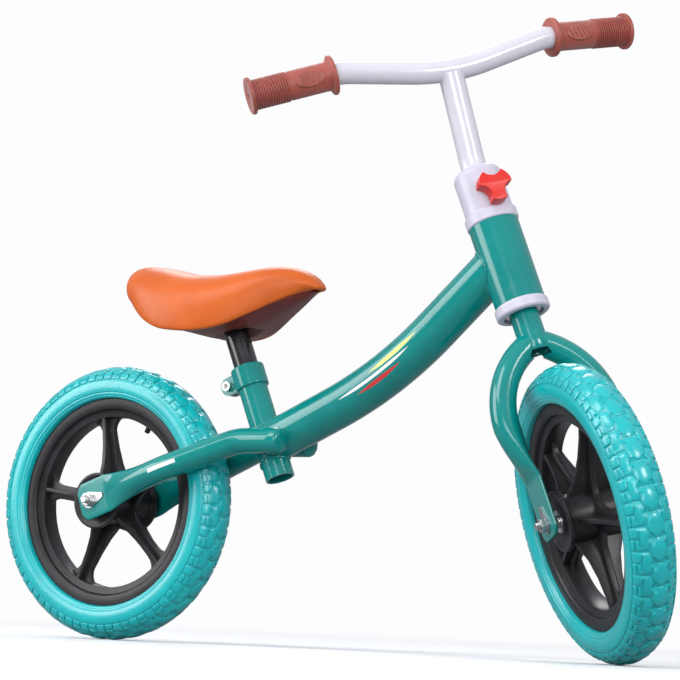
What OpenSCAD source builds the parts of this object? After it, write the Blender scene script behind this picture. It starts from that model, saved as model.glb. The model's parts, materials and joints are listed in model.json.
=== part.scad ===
// A child's balance bike with foam tyres, its front wheel turned to the rider's right.
// X points forward, Y to the rider's left and Z up. The origin is where the rear tyre
// meets the ground, on the bike's middle plane.

/* [Wheels] */
// Radius of both tyres
wheel_r = 145; // [140:1:150]
// Width of the foam tyre
tyre_w = 46; // [42:1:48]
// Radius of the rim's outer flange
rim_r = 110; // [106:1:112]
// Number of spokes in each rim
spokes = 5; // [5:1:6]
// Turn of the rear wheel on its axle, to its first spoke
rear_spin = 100; // [0:1:360]
// Turn of the front wheel on its axle, to its first spoke
front_spin = 48; // [0:1:360]

/* [Steering] */
// Where the steering axis meets the ground, ahead of the rear contact
axis_x = 631; // [620:1:640]
// Lean of the steering axis back from upright
head_lean = 23; // [20:0.5:25]
// Turn of the fork and bar from straight ahead, minus is to the right
steer = -42; // [-60:1:60]
// Outer diameter of the head tube
head_d = 50; // [48:1:52]
// Outer diameter of the steerer tube
steerer_d = 28.6; // [28.2:0.1:29]

/* [Frame] */
// Outer diameter of the main tube
main_d = 44; // [40:1:46]
// Outer diameter of the seat tube
seat_tube_d = 30; // [29.8:0.1:31]
// Outer diameter of the chain stays and the fork legs
stay_d = 26; // [24:1:27]
// Lean of the seat tube back from upright
seat_lean = 23; // [20:0.5:25]
// Slope of the chain stays up from the rear axle
stay_slope = 20; // [18:0.5:22]

/* [Bar and seat] */
// Outer diameter of the stem and of the seat post
post_d = 25.4; // [25.4:0.1:25.6]
// Outer diameter of the handlebar
bar_d = 22.2; // [22:0.1:22.4]
// Reach of the bar's grips from the middle plane
bar_reach = 203.5; // [195:0.5:210]
// Height of the saddle along its post, up from where the post is shown
seat_raise = 0; // [-20:1:20]

/* [Hidden] */
$fn = 64;
EPS = 0.01;

// Colours
TEAL = [0.00, 0.56, 0.52];
CYAN = [0.00, 0.70, 0.70];
BLACK = [0.08, 0.08, 0.09];
WHITE = [0.93, 0.92, 0.95];
LAVENDER = [0.80, 0.78, 0.86];
TAN = [0.85, 0.38, 0.14];
MAROON = [0.38, 0.10, 0.08];
RED = [0.90, 0.16, 0.12];
ZINC = [0.75, 0.75, 0.74];

// Tubes
head_r = head_d / 2;
head_bore_r = 22;
steerer_r = steerer_d / 2;
main_r = main_d / 2;
main_wall = 1.6;
seat_tube_r = seat_tube_d / 2;
stay_r = stay_d / 2;
stay_wall = 1.5;
post_r = post_d / 2;
post_wall = 1.5;
bar_r = bar_d / 2;
bar_wall = 1.5;
slide_gap = 0.05;
elbow_extra = 0.04;
elbow_entry = 0.5;

// Heights along the steering axis, measured from the ground
s_steerer_bottom = 329;
s_cup_bottom = 360.5;
s_head_bottom = 372.5;
s_head_top = 458;
s_cup_top = 470;
s_collar_bottom = 470.3;
s_steerer_top = 511;
s_collar_top = 517.5;
s_knob = 485;
cup_r = 27;
cup_bore_r = 20.5;
cup_step_r = 18;
cup_insert = 8;
collar_r = 24;

// The steered wheel leans, so its centre sits a little lower on the axis
axle_tilt = sin(head_lean) * sin(steer);
crown_r = tyre_w / 2;
front_axle_s = ((wheel_r - crown_r) * sqrt(1 - axle_tilt * axle_tilt) + crown_r) / cos(head_lean);

// Seat tube and clamp
seat_foot = [211.2, 0, 171.9];
seat_tube_h = 122;
clamp_bottom = 101;
clamp_top = 124.2;
clamp_r = 17.4;
ear_reach = 24;
ear_r = 9.5;
ear_t = 5;
ear_slit = 3;
post_bottom = 49 + seat_raise;
post_top = 182 + seat_raise;

// Fork legs
leg_y = 54;
leg_bend = 86;
leg_turn = 60;
leg_bend_s = 265;
leg_round_s = 252;
leg_flat_s = 198;
plate_w = 40;
plate_t = 4;
plate_end = 13.5;
plate_chamfer = 6;

// Wheel stack along the axle, each measured from the middle plane
hub_face = 35;
bearing_r = 11;
bearing_w = 7;
axle_r = 4;
axle_end_r = 3.6;
rear_plate_y = 43;
front_plate_y = 45.5;
washer_t = 1.2;
nut_h = 5.5;
nut_r = 7.5;
axle_free = 4.3;
tab_reach = 17;
rear_tip = rear_plate_y + plate_t / 2 + washer_t + nut_h + axle_free;
front_tip = front_plate_y + plate_t / 2 + washer_t + nut_h + axle_free;

// Chain stays: flat end, round start, and the two bends before the seat tube
stay_flat = 24;
stay_round = 75;
stay_out = [cos(stay_slope), 0, sin(stay_slope)];
stay_bend_1 = [95, rear_plate_y, wheel_r + 95 * tan(stay_slope)];
stay_bend_2 = [175, 27, wheel_r + 175 * tan(stay_slope)];
stay_end = [226, 27, wheel_r + 175 * tan(stay_slope)];

// Main tube: from inside the seat tube, round one bend, to inside the head tube
main_path = [[198, 0, 208], [338.5, 0, 272.3], [458, 0, 382.6]];
main_bend = 450;

// Stem and bar, in the steered frame: forward, left, up the steering axis
stem_path = [[0, 0, 400], [0, 0, 526], [21.7, 0, 616]];
stem_bend = 60;
bar_mid = [21.7, 0, 616];
grip_start = [19, 116.2, 638.1];
grip_end = [7.6, bar_reach, 636];
bar_shoulder = grip_start + (grip_start - grip_end) * 0.09;
bar_bend_mid = 200;
bar_bend_side = 60;
grip_len = norm(grip_end - grip_start);
grip_r = 14.2;
grip_flange_r = 20;
grip_flange_t = 4.5;

// Knob and its screw, forward from the steering axis
screw_r = 4;
screw_tip = post_r + 0.3;
knob_back = 27;
knob_t = 14;
knob_r = 17;

// Frames of reference

module on_steering_axis() {
    translate([axis_x, 0, 0]) rotate([0, -head_lean, 0]) children();
}

module in_fork() {
    on_steering_axis() rotate([0, 0, steer]) children();
}

module on_seat_axis() {
    translate(seat_foot) rotate([0, -seat_lean, 0]) children();
}

module at_rear_axle() {
    translate([0, 0, wheel_r]) children();
}

module at_front_axle() {
    in_fork() translate([0, 0, front_axle_s]) children();
}

module both_sides() {
    children();
    mirror([0, 1, 0]) children();
}

// Stands children's z axis along v
module aim(v) {
    rotate([0, acos(v[2] / norm(v)), atan2(v[1], v[0])]) children();
}

// Turns children's z axis to Y, so that a lathe shape becomes a wheel part
module across() {
    rotate([-90, 0, 0]) children();
}

// Shapes that repeat

function unit(v) = v / norm(v);

module ring(r_out, r_in, h) {
    difference() {
        cylinder(r = r_out, h = h);
        translate([0, 0, -1]) cylinder(r = r_in, h = h + 2);
    }
}

// A quarter-round edge keeps moulded rings soft
module soft_ring(r_out, r_in, h, edge) {
    rotate_extrude() {
        translate([r_in, 0]) square([r_out - r_in - edge, h]);
        translate([r_in, edge]) square([r_out - r_in, h - 2 * edge]);
        for (z = [edge, h - edge]) translate([r_out - edge, z]) circle(r = edge, $fn = 32);
    }
}

// One straight stretch of tube from a to b
module straight(a, b, r, r_in) {
    translate(a) aim(b - a) difference() {
        cylinder(r = r, h = norm(b - a));
        if (r_in > 0) translate([0, 0, -1]) cylinder(r = r_in, h = norm(b - a) + 2);
    }
}

// The elbow at corner p, from direction u to direction w. Its wall is a hair thicker
// than the straights', whose ends reach a little way into it.
module elbow(p, u, w, bend, r, r_in) {
    turn = acos(u * w);
    side = (w - u * (u * w)) / sin(turn);
    axis = cross(u, side);
    centre = p - u * bend * tan(turn / 2) + side * bend;
    multmatrix([
        [-side[0], u[0], axis[0], centre[0]],
        [-side[1], u[1], axis[1], centre[1]],
        [-side[2], u[2], axis[2], centre[2]]
    ])
        rotate_extrude(angle = turn) translate([bend, 0]) difference() {
            circle(r = r + elbow_extra);
            if (r_in > 0) circle(r = r_in - elbow_extra);
        }
}

// How far an elbow takes up its straights, at corner i of a path
function elbow_reach(path, bends, i) =
    i == 0 || i == len(path) - 1 ? 0 :
    bends[i - 1] * tan(acos(unit(path[i] - path[i - 1]) * unit(path[i + 1] - path[i])) / 2) - elbow_entry;

// A bent tube: straights joined by true elbows
module bent_tube(path, bends, r, r_in) {
    for (i = [0:len(path) - 2]) {
        u = unit(path[i + 1] - path[i]);
        straight(path[i] + u * elbow_reach(path, bends, i), path[i + 1] - u * elbow_reach(path, bends, i + 1),
            r, r_in);
    }
    for (i = [1:len(path) - 2])
        elbow(path[i], unit(path[i] - path[i - 1]), unit(path[i + 1] - path[i]), bends[i - 1], r, r_in);
}

// The flattened end of a stay or leg: x runs up the tube, y is its thickness
module flat_plate(length) {
    half = plate_w / 2;
    difference() {
        rotate([90, 0, 0]) translate([0, 0, -plate_t / 2]) linear_extrude(plate_t) polygon([
            [-plate_end, -half + plate_chamfer], [-plate_end + plate_chamfer, -half],
            [length, -half], [length, half],
            [-plate_end + plate_chamfer, half], [-plate_end, half - plate_chamfer]
        ]);
        across() cylinder(r = axle_r + 0.1, h = plate_w, center = true);
        translate([tab_reach, 0, 0]) across() cylinder(r = 2, h = plate_w, center = true);
    }
}

// Where the round tube is pressed flat: round_y is how far the tube stands out past the plate.
// Its round end sits just inside the tube's wall.
module pressed_stretch(from, to, round_y) {
    difference() {
        hull() {
            translate([from - 1, 0, 0]) cube([1, plate_t - 0.2, plate_w - 0.4], center = true);
            translate([to, round_y, 0]) rotate([0, 90, 0]) cylinder(r = stay_r - 0.1, h = 1, $fn = 32);
        }
        hull() {
            translate([from + 14, 0, 0]) cube([1, 1, plate_w / 2], center = true);
            translate([to, round_y, 0]) rotate([0, 90, 0]) cylinder(r = stay_r - stay_wall, h = 2, $fn = 32);
        }
    }
}

// Frame

module head_tube() {
    color(TEAL) on_steering_axis() translate([0, 0, s_head_bottom])
        ring(head_r, head_bore_r, s_head_top - s_head_bottom);
}

module head_tube_space() {
    on_steering_axis() translate([0, 0, s_head_bottom - 40]) cylinder(r = head_r, h = 160);
}

module seat_tube_space() {
    on_seat_axis() translate([0, 0, -20]) cylinder(r = seat_tube_r, h = 160);
}

module main_tube_space() {
    straight(main_path[0], main_path[1], main_r, 0);
}

module main_tube() {
    color(TEAL) difference() {
        bent_tube(main_path, [main_bend], main_r, main_r - main_wall);
        head_tube_space();
        seat_tube_space();
    }
}

module seat_tube() {
    color(TEAL) on_seat_axis() difference() {
        ring(seat_tube_r, post_r + slide_gap, seat_tube_h);
        translate([-seat_tube_r - 5, -1.5, clamp_bottom - 6]) cube([seat_tube_r + 5, 3, 40]);
    }
}

module stay_left() {
    round_start = [0, rear_plate_y, wheel_r] + stay_out * stay_round;
    color(TEAL) difference() {
        union() {
            translate([0, rear_plate_y, wheel_r]) rotate([0, -stay_slope, 0]) {
                flat_plate(stay_flat);
                pressed_stretch(stay_flat, stay_round, 0);
            }
            bent_tube([round_start, stay_bend_1, stay_bend_2, stay_end], [100, 60],
                stay_r, stay_r - stay_wall);
            translate(stay_end - [2, 0, 0]) rotate([0, 90, 0]) cylinder(r = stay_r - 0.5, h = 3);
        }
        seat_tube_space();
        main_tube_space();
    }
}

module stay_right() {
    mirror([0, 1, 0]) stay_left();
}

// Headset: each cup presses into the head tube and holds one bearing

module lower_cup() {
    color(LAVENDER) on_steering_axis() difference() {
        union() {
            translate([0, 0, s_cup_bottom]) soft_ring(cup_r, cup_bore_r, s_head_bottom - s_cup_bottom, 3);
            translate([0, 0, s_head_bottom - EPS]) cylinder(r = head_bore_r, h = cup_insert);
        }
        translate([0, 0, s_cup_bottom - 1]) cylinder(r = cup_bore_r, h = 15);
        translate([0, 0, s_cup_bottom]) cylinder(r = cup_step_r, h = 40);
    }
}

module upper_cup() {
    color(LAVENDER) on_steering_axis() difference() {
        union() {
            translate([0, 0, s_head_top]) soft_ring(cup_r - 0.7, cup_bore_r, s_cup_top - s_head_top, 2);
            translate([0, 0, s_head_top - cup_insert + EPS]) cylinder(r = head_bore_r, h = cup_insert);
        }
        translate([0, 0, s_head_top - 2]) cylinder(r = cup_bore_r, h = 15);
        translate([0, 0, s_head_top - 20]) cylinder(r = cup_step_r, h = 40);
    }
}

module head_bearing(s) {
    color(ZINC) on_steering_axis() translate([0, 0, s]) ring(cup_bore_r, steerer_r + slide_gap, 8);
}

module lower_head_bearing() {
    head_bearing(s_cup_bottom + 6);
}

module upper_head_bearing() {
    head_bearing(s_head_top - 2);
}

// Seat clamp: a split band with two ears behind the post

module seat_clamp() {
    ear_h = 2 * ear_r;
    mid = (clamp_bottom + clamp_top) / 2;
    color(TEAL) on_seat_axis() difference() {
        union() {
            translate([0, 0, clamp_bottom]) soft_ring(clamp_r, seat_tube_r - 3, clamp_top - clamp_bottom, 1.5);
            for (side = [-1, 1]) translate([0, side * (ear_slit + ear_t) / 2, mid]) {
                translate([-ear_reach / 2 - 6, 0, 0]) cube([ear_reach - 12, ear_t, ear_h], center = true);
                translate([-ear_reach, 0, 0]) across() cylinder(r = ear_r, h = ear_t, center = true);
            }
        }
        translate([0, 0, clamp_bottom - 1]) cylinder(r = seat_tube_r, h = seat_tube_h - clamp_bottom + 1);
        translate([0, 0, clamp_bottom]) cylinder(r = post_r + 0.1, h = 40);
        translate([-60, -ear_slit / 2, clamp_bottom - 10]) cube([60, ear_slit, 60]);
        translate([-ear_reach, 0, mid]) across() cylinder(r = 3.1, h = 40, center = true);
    }
}

module at_clamp_bolt() {
    on_seat_axis() translate([-ear_reach, 0, (clamp_bottom + clamp_top) / 2]) children();
}

module seat_clamp_bolt() {
    outer = ear_slit / 2 + ear_t;
    color(ZINC) at_clamp_bolt() across() {
        translate([0, 0, -outer - 5]) difference() {
            cylinder(r = 5, h = 5);
            translate([0, 0, -1]) cylinder(r = 2.9, h = 4, $fn = 6);
        }
        translate([0, 0, -outer]) cylinder(r = 3, h = 2 * outer + 7);
    }
}

module seat_clamp_nut() {
    outer = ear_slit / 2 + ear_t;
    color(ZINC) at_clamp_bolt() across() translate([0, 0, outer]) difference() {
        cylinder(r = 5.8, h = 5, $fn = 6);
        translate([0, 0, -1]) cylinder(r = 3, h = 8);
    }
}

// Axles, shared by both wheels: tip is the axle's end, plate_y the middle of its plate

module axle(tip) {
    chamfer = 0.6;
    color(ZINC) across() {
        cylinder(r = axle_r, h = 2 * (tip - axle_free), center = true);
        cylinder(r = axle_end_r, h = 2 * (tip - chamfer), center = true);
        for (side = [0, 1]) mirror([0, 0, side])
            translate([0, 0, tip - chamfer]) cylinder(r1 = axle_end_r, r2 = axle_end_r - chamfer, h = chamfer);
    }
}

module axle_sleeve() {
    half = hub_face - bearing_w - 0.3;
    color(ZINC) across() translate([0, 0, -half]) ring(6.5, axle_r, 2 * half);
}

module cone_nuts(plate_y) {
    start = hub_face + 0.3;
    end = plate_y - plate_t / 2;
    color(ZINC) both_sides() across() translate([0, 0, start]) difference() {
        union() {
            cylinder(r = 6, h = 2);
            translate([0, 0, 2]) cylinder(r = 7.4, h = end - start - 2, $fn = 6);
        }
        translate([0, 0, -1]) cylinder(r = axle_r, h = 20);
    }
}

// The tab points along +X and hooks into the plate
module tab_washers(plate_y) {
    outer = plate_y + plate_t / 2;
    color(ZINC) both_sides() translate([0, outer, 0]) across() {
        linear_extrude(washer_t) difference() {
            union() {
                circle(r = 8.6);
                polygon([[2, 8.35], [tab_reach - 1, 3], [tab_reach + 1, 2], [tab_reach + 1, -2],
                    [tab_reach - 1, -3], [2, -8.35]]);
            }
            circle(r = axle_r);
        }
        translate([tab_reach, 0, -3]) cylinder(r = 1.4, h = 3 + EPS);
    }
}

module axle_nuts(plate_y) {
    outer = plate_y + plate_t / 2 + washer_t;
    color(ZINC) both_sides() across() translate([0, 0, outer]) difference() {
        cylinder(r = nut_r, h = nut_h, $fn = 6);
        translate([0, 0, -1]) cylinder(r = axle_r, h = 20);
    }
}

module rear_axle() {
    at_rear_axle() axle(rear_tip);
}

module rear_axle_sleeve() {
    at_rear_axle() axle_sleeve();
}

module rear_cone_nuts() {
    at_rear_axle() cone_nuts(rear_plate_y);
}

module rear_tab_washers() {
    at_rear_axle() rotate([0, -stay_slope, 0]) tab_washers(rear_plate_y);
}

module rear_axle_nuts() {
    at_rear_axle() rotate([0, 12, 0]) axle_nuts(rear_plate_y);
}

module front_axle() {
    at_front_axle() axle(front_tip);
}

module front_axle_sleeve() {
    at_front_axle() axle_sleeve();
}

module front_cone_nuts() {
    at_front_axle() cone_nuts(front_plate_y);
}

module front_tab_washers() {
    at_front_axle() rotate([0, -90, 0]) tab_washers(front_plate_y);
}

module front_axle_nuts() {
    at_front_axle() rotate([0, 20, 0]) axle_nuts(front_plate_y);
}

// Fork

module steerer_space() {
    translate([0, 0, s_steerer_bottom - 20]) cylinder(r = steerer_r, h = 80);
}

module steerer_tube() {
    color(TEAL) in_fork() difference() {
        translate([0, 0, s_steerer_bottom])
            ring(steerer_r, post_r + slide_gap, s_steerer_top - s_steerer_bottom);
        translate([0, 0, s_knob]) rotate([0, 90, 0]) cylinder(r = screw_r + 0.5, h = 40);
    }
}

module fork_leg_left() {
    top = [0, leg_y - leg_bend * (1 - cos(leg_turn)), leg_bend_s + leg_bend * sin(leg_turn)];
    corner = [0, leg_y, leg_bend_s + leg_bend * tan(leg_turn / 2)];
    inside = top + unit(top - corner) * 8;
    color(TEAL) in_fork() {
        difference() {
            bent_tube([inside, corner, [0, leg_y, leg_round_s]], [leg_bend], stay_r, stay_r - stay_wall);
            steerer_space();
        }
        translate([0, front_plate_y, front_axle_s]) rotate([0, -90, 0]) {
            flat_plate(leg_flat_s - front_axle_s);
            pressed_stretch(leg_flat_s - front_axle_s, leg_round_s - front_axle_s, leg_y - front_plate_y);
        }
    }
}

module fork_leg_right() {
    color(TEAL) in_fork() mirror([0, 1, 0]) in_fork_undone() fork_leg_left();
}

// Brings a part that is already in the steered frame back to the straight one
module in_fork_undone() {
    rotate([0, 0, -steer]) rotate([0, head_lean, 0]) translate([-axis_x, 0, 0]) children();
}

module fork_races() {
    color(ZINC) in_fork() {
        translate([0, 0, s_cup_bottom + 2.3]) ring(cup_step_r, steerer_r, 3.4);
        translate([0, 0, s_head_top + 6.3]) ring(cup_step_r, steerer_r, 5.5);
    }
}

module bar_clamp_collar() {
    dome = 8;
    color(LAVENDER) in_fork() difference() {
        translate([0, 0, s_collar_bottom]) rotate_extrude() {
            h = s_collar_top - s_collar_bottom;
            square([collar_r - dome, h]);
            square([collar_r, h - dome]);
            translate([collar_r - dome, h - dome]) circle(r = dome);
        }
        translate([0, 0, s_collar_bottom - 1]) cylinder(r = steerer_r, h = s_steerer_top - s_collar_bottom + 1);
        translate([0, 0, s_collar_bottom]) cylinder(r = post_r + 0.1, h = 80);
        translate([0, 0, s_knob]) rotate([0, 90, 0]) cylinder(r = screw_r + slide_gap, h = 40);
    }
}

// Handlebar

module bar_run(r, r_in) {
    tip = grip_end - unit(grip_end - grip_start) * 5;
    path = [tip, bar_shoulder, bar_mid, flipped(bar_shoulder), flipped(tip)];
    bent_tube(path, [bar_bend_side, bar_bend_mid, bar_bend_side], r, r_in);
}

function flipped(p) = [p[0], -p[1], p[2]];

module handlebar_tube() {
    color(WHITE) in_fork() bar_run(bar_r, bar_r - bar_wall);
}

module stem_tube() {
    u = unit(bar_mid - bar_shoulder);
    w = unit(flipped(bar_shoulder) - bar_mid);
    color(WHITE) in_fork() difference() {
        bent_tube(stem_path, [stem_bend], post_r, post_r - post_wall);
        elbow(bar_mid, u, w, bar_bend_mid, bar_r, 0);
    }
}

module grip_left() {
    neck = 4;
    end = grip_len - grip_flange_t;
    color(MAROON) in_fork() translate(grip_start) aim(grip_end - grip_start) difference() {
        union() {
            soft_ring(grip_flange_r, bar_r, grip_flange_t, 2);
            rotate_extrude() polygon([
                [0, 0], [grip_r - 0.6, 0], [grip_r, neck], [grip_r + 0.8, grip_len / 2],
                [grip_r, end], [0, end]
            ]);
            translate([0, 0, end]) soft_ring(grip_flange_r - 1, 2, grip_flange_t, 2);
        }
        translate([0, 0, -1]) cylinder(r = bar_r, h = grip_len - 5 + 1);
        cylinder(r = 2, h = 2 * grip_len);
    }
}

module grip_right() {
    color(MAROON) in_fork() mirror([0, 1, 0]) in_fork_undone() grip_left();
}

// Bar clamp: the screw bears on the stem, and the knob turns it

module at_knob() {
    in_fork() translate([0, 0, s_knob]) rotate([0, 90, 0]) children();
}

module clamp_screw() {
    color(ZINC) at_knob() translate([0, 0, screw_tip]) cylinder(r = screw_r, h = knob_back + 9 - screw_tip);
}

module clamp_knob() {
    color(RED) at_knob() difference() {
        union() {
            translate([0, 0, collar_r + 0.4]) cylinder(r = 8, h = knob_back - collar_r);
            translate([0, 0, knob_back]) linear_extrude(knob_t) difference() {
                circle(r = knob_r);
                for (i = [0:2]) rotate([0, 0, 120 * i]) translate([-20.5, 0]) circle(r = 11);
            }
        }
        translate([0, 0, collar_r - 1]) cylinder(r = screw_r + slide_gap, h = knob_back + 9.5 - collar_r + 1);
    }
}

// Seat

// The post's top is cut to the slope of the plate that is welded on it
module seat_post() {
    color(BLACK) difference() {
        on_seat_axis() translate([0, 0, post_bottom])
            ring(post_r, post_r - post_wall, post_top - post_bottom);
        on_pan() translate([-40, -40, 0]) cube([80, 80, 60]);
    }
}

plate_at = [144, 0, 334] + [-sin(seat_lean), 0, cos(seat_lean)] * seat_raise;

module on_pan() {
    translate(plate_at) rotate([0, -8, 0]) children();
}

module post_plate() {
    color(BLACK) on_pan() translate([-30, -17, 0]) difference() {
        cube([60, 34, 3]);
        for (x = [6, 54], y = [6, 28]) translate([x, y, -1]) cylinder(r = 2.6, h = 8);
    }
}

module pan_shape(grow) {
    hull() {
        for (side = [-1, 1]) {
            translate([-84, side * 26, 11]) cylinder(r = 20 + grow, h = 9 + grow, $fn = 32);
            translate([0, side * 24, 3.3]) cylinder(r = 16 + grow, h = 9 + grow, $fn = 32);
        }
        translate([82, 0, 22]) cylinder(r = 8 + grow, h = 9 + grow, $fn = 32);
    }
}

module saddle_pan() {
    color(MAROON) on_pan() difference() {
        union() {
            pan_shape(0);
            translate([0, 0, -9]) cylinder(r = 19, h = 18);
        }
        translate([-34, -21, -10]) cube([68, 42, 13.2]);
        for (x = [-24, 24], y = [-11, 11]) translate([x, y, -1]) cylinder(r = 2, h = 11);
    }
}

module saddle_screws() {
    color(ZINC) on_pan() for (x = [-24, 24], y = [-11, 11]) translate([x, y, 0]) {
        translate([0, 0, -3]) cylinder(r = 4.2, h = 3);
        translate([0, 0, -EPS]) cylinder(r = 2, h = 9.5);
    }
}

module saddle_cover() {
    raise = [-sin(seat_lean), 0, cos(seat_lean)] * seat_raise;
    color(TAN) difference() {
        translate(raise) hull() {
            for (side = [-1, 1]) {
                translate([48, side * 32, 363]) sphere(r = 30, $fn = 32);
                translate([105, side * 34, 350]) sphere(r = 27, $fn = 32);
                translate([140, side * 28, 351]) sphere(r = 27, $fn = 32);
            }
            translate([224, 0, 372]) sphere(r = 17, $fn = 32);
            translate([243, 0, 367]) sphere(r = 7, $fn = 32);
        }
        on_pan() hull() {
            pan_shape(0.4);
            translate([0, 0, -60]) pan_shape(0.4);
        }
    }
}

// Wheels, lying flat with the axle along z until at_rear_wheel or at_front_wheel stands them up

module rim_spoke() {
    linear_extrude(6, center = true) polygon([
        [16, -11], [34, -8.5], [60, -7], [86, -8.5], [95, -12], [95, 12], [86, 8.5], [60, 7], [34, 8.5], [16, 11]
    ]);
    rotate([90, 0, 0]) linear_extrude(5, center = true)
        polygon([[16, -24], [30, -21], [60, -12], [94, -9], [94, 9], [60, 12], [30, 21], [16, 24]]);
}

module rim() {
    channel_r = rim_r - 6;
    color(BLACK) difference() {
        union() {
            rotate_extrude() {
                translate([channel_r - 4, -16]) square([4, 32]);
                for (y = [-16, 13.5]) translate([channel_r - 4, y]) square([rim_r - channel_r + 4, 2.5]);
                translate([91, -11]) square([6, 22]);
                translate([91, -5]) square([10, 10]);
            }
            rotate_extrude() {
                translate([0, -hub_face + 4]) square([24, 2 * hub_face - 8]);
                for (y = [-hub_face, hub_face - 4]) translate([0, y]) square([29.5, 4]);
            }
            for (i = [0:spokes - 1]) rotate([0, 0, 360 / spokes * i]) rim_spoke();
        }
        cylinder(r = 9, h = 2 * hub_face + 2, center = true);
        for (side = [0, 1]) mirror([0, 0, side])
            translate([0, 0, hub_face - bearing_w]) cylinder(r = bearing_r, h = 20);
    }
}

// The foam fills the rim's channel and bulges over its flanges
module tyre() {
    channel_r = rim_r - 6;
    color(CYAN) rotate_extrude() union() {
        translate([channel_r, -13.5]) square([12, 27]);
        intersection() {
            translate([wheel_r - crown_r, 0]) circle(r = crown_r);
            translate([rim_r, -crown_r]) square([60, tyre_w]);
        }
    }
}

module wheel_bearings() {
    color(ZINC) for (side = [0, 1]) mirror([0, 0, side])
        translate([0, 0, hub_face - bearing_w]) ring(bearing_r, axle_r + slide_gap, bearing_w);
}

// A short moulded peg like a valve, midway between two spokes
module valve_peg() {
    color(BLACK) rotate([0, 0, 180 / spokes]) translate([83, 0, 0]) rotate([0, 90, 0]) cylinder(r = 3, h = 7.9);
}

// In a standing wheel, z runs to the left and the spin is counted up from straight ahead
module at_rear_wheel() {
    at_rear_axle() rotate([90, 0, 0]) rotate([0, 0, rear_spin]) children();
}

module at_front_wheel() {
    at_front_axle() rotate([90, 0, 0]) rotate([0, 0, front_spin]) children();
}

module rear_rim() {
    at_rear_wheel() rim();
}

module rear_tyre() {
    at_rear_wheel() tyre();
}

module rear_bearings() {
    at_rear_wheel() wheel_bearings();
}

module rear_valve_peg() {
    at_rear_wheel() rotate([0, 0, -360 / spokes]) valve_peg();
}

module front_rim() {
    at_front_wheel() rim();
}

module front_tyre() {
    at_front_wheel() tyre();
}

module front_bearings() {
    at_front_wheel() wheel_bearings();
}

module front_valve_peg() {
    at_front_wheel() rotate([0, 0, -720 / spokes]) valve_peg();
}

head_tube();
main_tube();
seat_tube();
stay_right();
stay_left();
lower_cup();
upper_cup();
lower_head_bearing();
upper_head_bearing();
seat_clamp();
seat_clamp_bolt();
seat_clamp_nut();
rear_axle();
rear_axle_sleeve();
rear_cone_nuts();
rear_tab_washers();
rear_axle_nuts();
steerer_tube();
fork_leg_right();
fork_leg_left();
fork_races();
bar_clamp_collar();
front_axle();
front_axle_sleeve();
front_cone_nuts();
front_tab_washers();
front_axle_nuts();
stem_tube();
handlebar_tube();
grip_right();
grip_left();
clamp_screw();
clamp_knob();
seat_post();
post_plate();
saddle_pan();
saddle_screws();
saddle_cover();
rear_rim();
rear_tyre();
rear_bearings();
rear_valve_peg();
front_rim();
front_tyre();
front_bearings();
front_valve_peg();
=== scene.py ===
# %% [markdown]
# # A child's balance bike
# The bike is a painted steel frame with a pressed-flat fork, two moulded wheels with foam
# tyres, a soft saddle on a sliding post and a bar held by a red knob. Its measured shape
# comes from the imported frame. Each cell adds what the measured model leaves plain: the
# tread, the pressed tube ends, the saddle's skin, the welds and every finish.

# %% Load the frame
import json
import math

import bpy
from mathutils import Matrix, Vector


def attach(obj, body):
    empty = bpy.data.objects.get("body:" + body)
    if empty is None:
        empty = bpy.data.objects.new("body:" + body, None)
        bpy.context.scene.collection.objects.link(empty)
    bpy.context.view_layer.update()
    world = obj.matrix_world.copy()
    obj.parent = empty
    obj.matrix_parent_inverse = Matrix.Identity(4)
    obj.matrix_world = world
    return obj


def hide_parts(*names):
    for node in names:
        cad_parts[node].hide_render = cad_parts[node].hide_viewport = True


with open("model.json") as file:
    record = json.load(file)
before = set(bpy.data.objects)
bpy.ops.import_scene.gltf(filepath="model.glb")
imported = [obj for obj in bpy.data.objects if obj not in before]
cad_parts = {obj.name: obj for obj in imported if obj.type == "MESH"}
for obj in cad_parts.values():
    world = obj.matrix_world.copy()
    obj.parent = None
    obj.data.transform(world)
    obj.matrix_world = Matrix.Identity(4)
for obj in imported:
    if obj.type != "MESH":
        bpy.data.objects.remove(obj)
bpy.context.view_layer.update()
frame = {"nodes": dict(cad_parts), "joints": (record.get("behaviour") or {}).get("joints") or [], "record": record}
joints = {joint["name"]: joint for joint in frame["joints"]}
MM = 0.001

# %% [markdown]
# ## Frames of reference
# A wheel or a fork is easiest to shape at the origin, with its axle or its steering axis
# along Z, and to stand in its place at the end. Three matrices do that here. They come
# from the joints of the frame, so that every piece lands exactly on its axle or its axis.
# For a wheel, X points ahead, Y up and Z to the bike's right.

# %% Where the fork, the seat post and the wheels stand
fork_up = Vector(joints["steering"]["axis"])
wheel_left = Vector(joints["front_wheel_spin"]["axis"])
fork_ahead = wheel_left.cross(fork_up).normalized()
front_axle = Vector(joints["front_wheel_spin"]["pos_m"])
rear_axle = Vector(joints["rear_wheel_spin"]["pos_m"])
axis_foot = front_axle - fork_up * front_axle.z / fork_up.z


def stand(origin, x_way, y_way, z_way):
    """The matrix that carries X, Y and Z at the origin to these directions at this place."""
    turn = Matrix((x_way, y_way, z_way)).transposed().to_4x4()
    return Matrix.Translation(origin) @ turn


in_fork = stand(axis_foot, fork_ahead, wheel_left, fork_up)
at_front = stand(front_axle, fork_ahead, fork_up, -wheel_left)
at_rear = stand(rear_axle, Vector((1, 0, 0)), Vector((0, 0, 1)), Vector((0, -1, 0)))
axle_s = (front_axle - axis_foot).length
seat_up = Vector(joints["seat_height"]["axis"])
print("front axle", round(axle_s * 1000, 2), "mm up the steering axis")

# %% [markdown]
# ## Small helpers for modelling by hand
# An operator acts on whatever is selected, and the frame arrives selected. So each helper
# first lets go of everything. `pick` then selects faces or vertices by their place,
# which is what a hand would do with the mouse.

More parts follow.
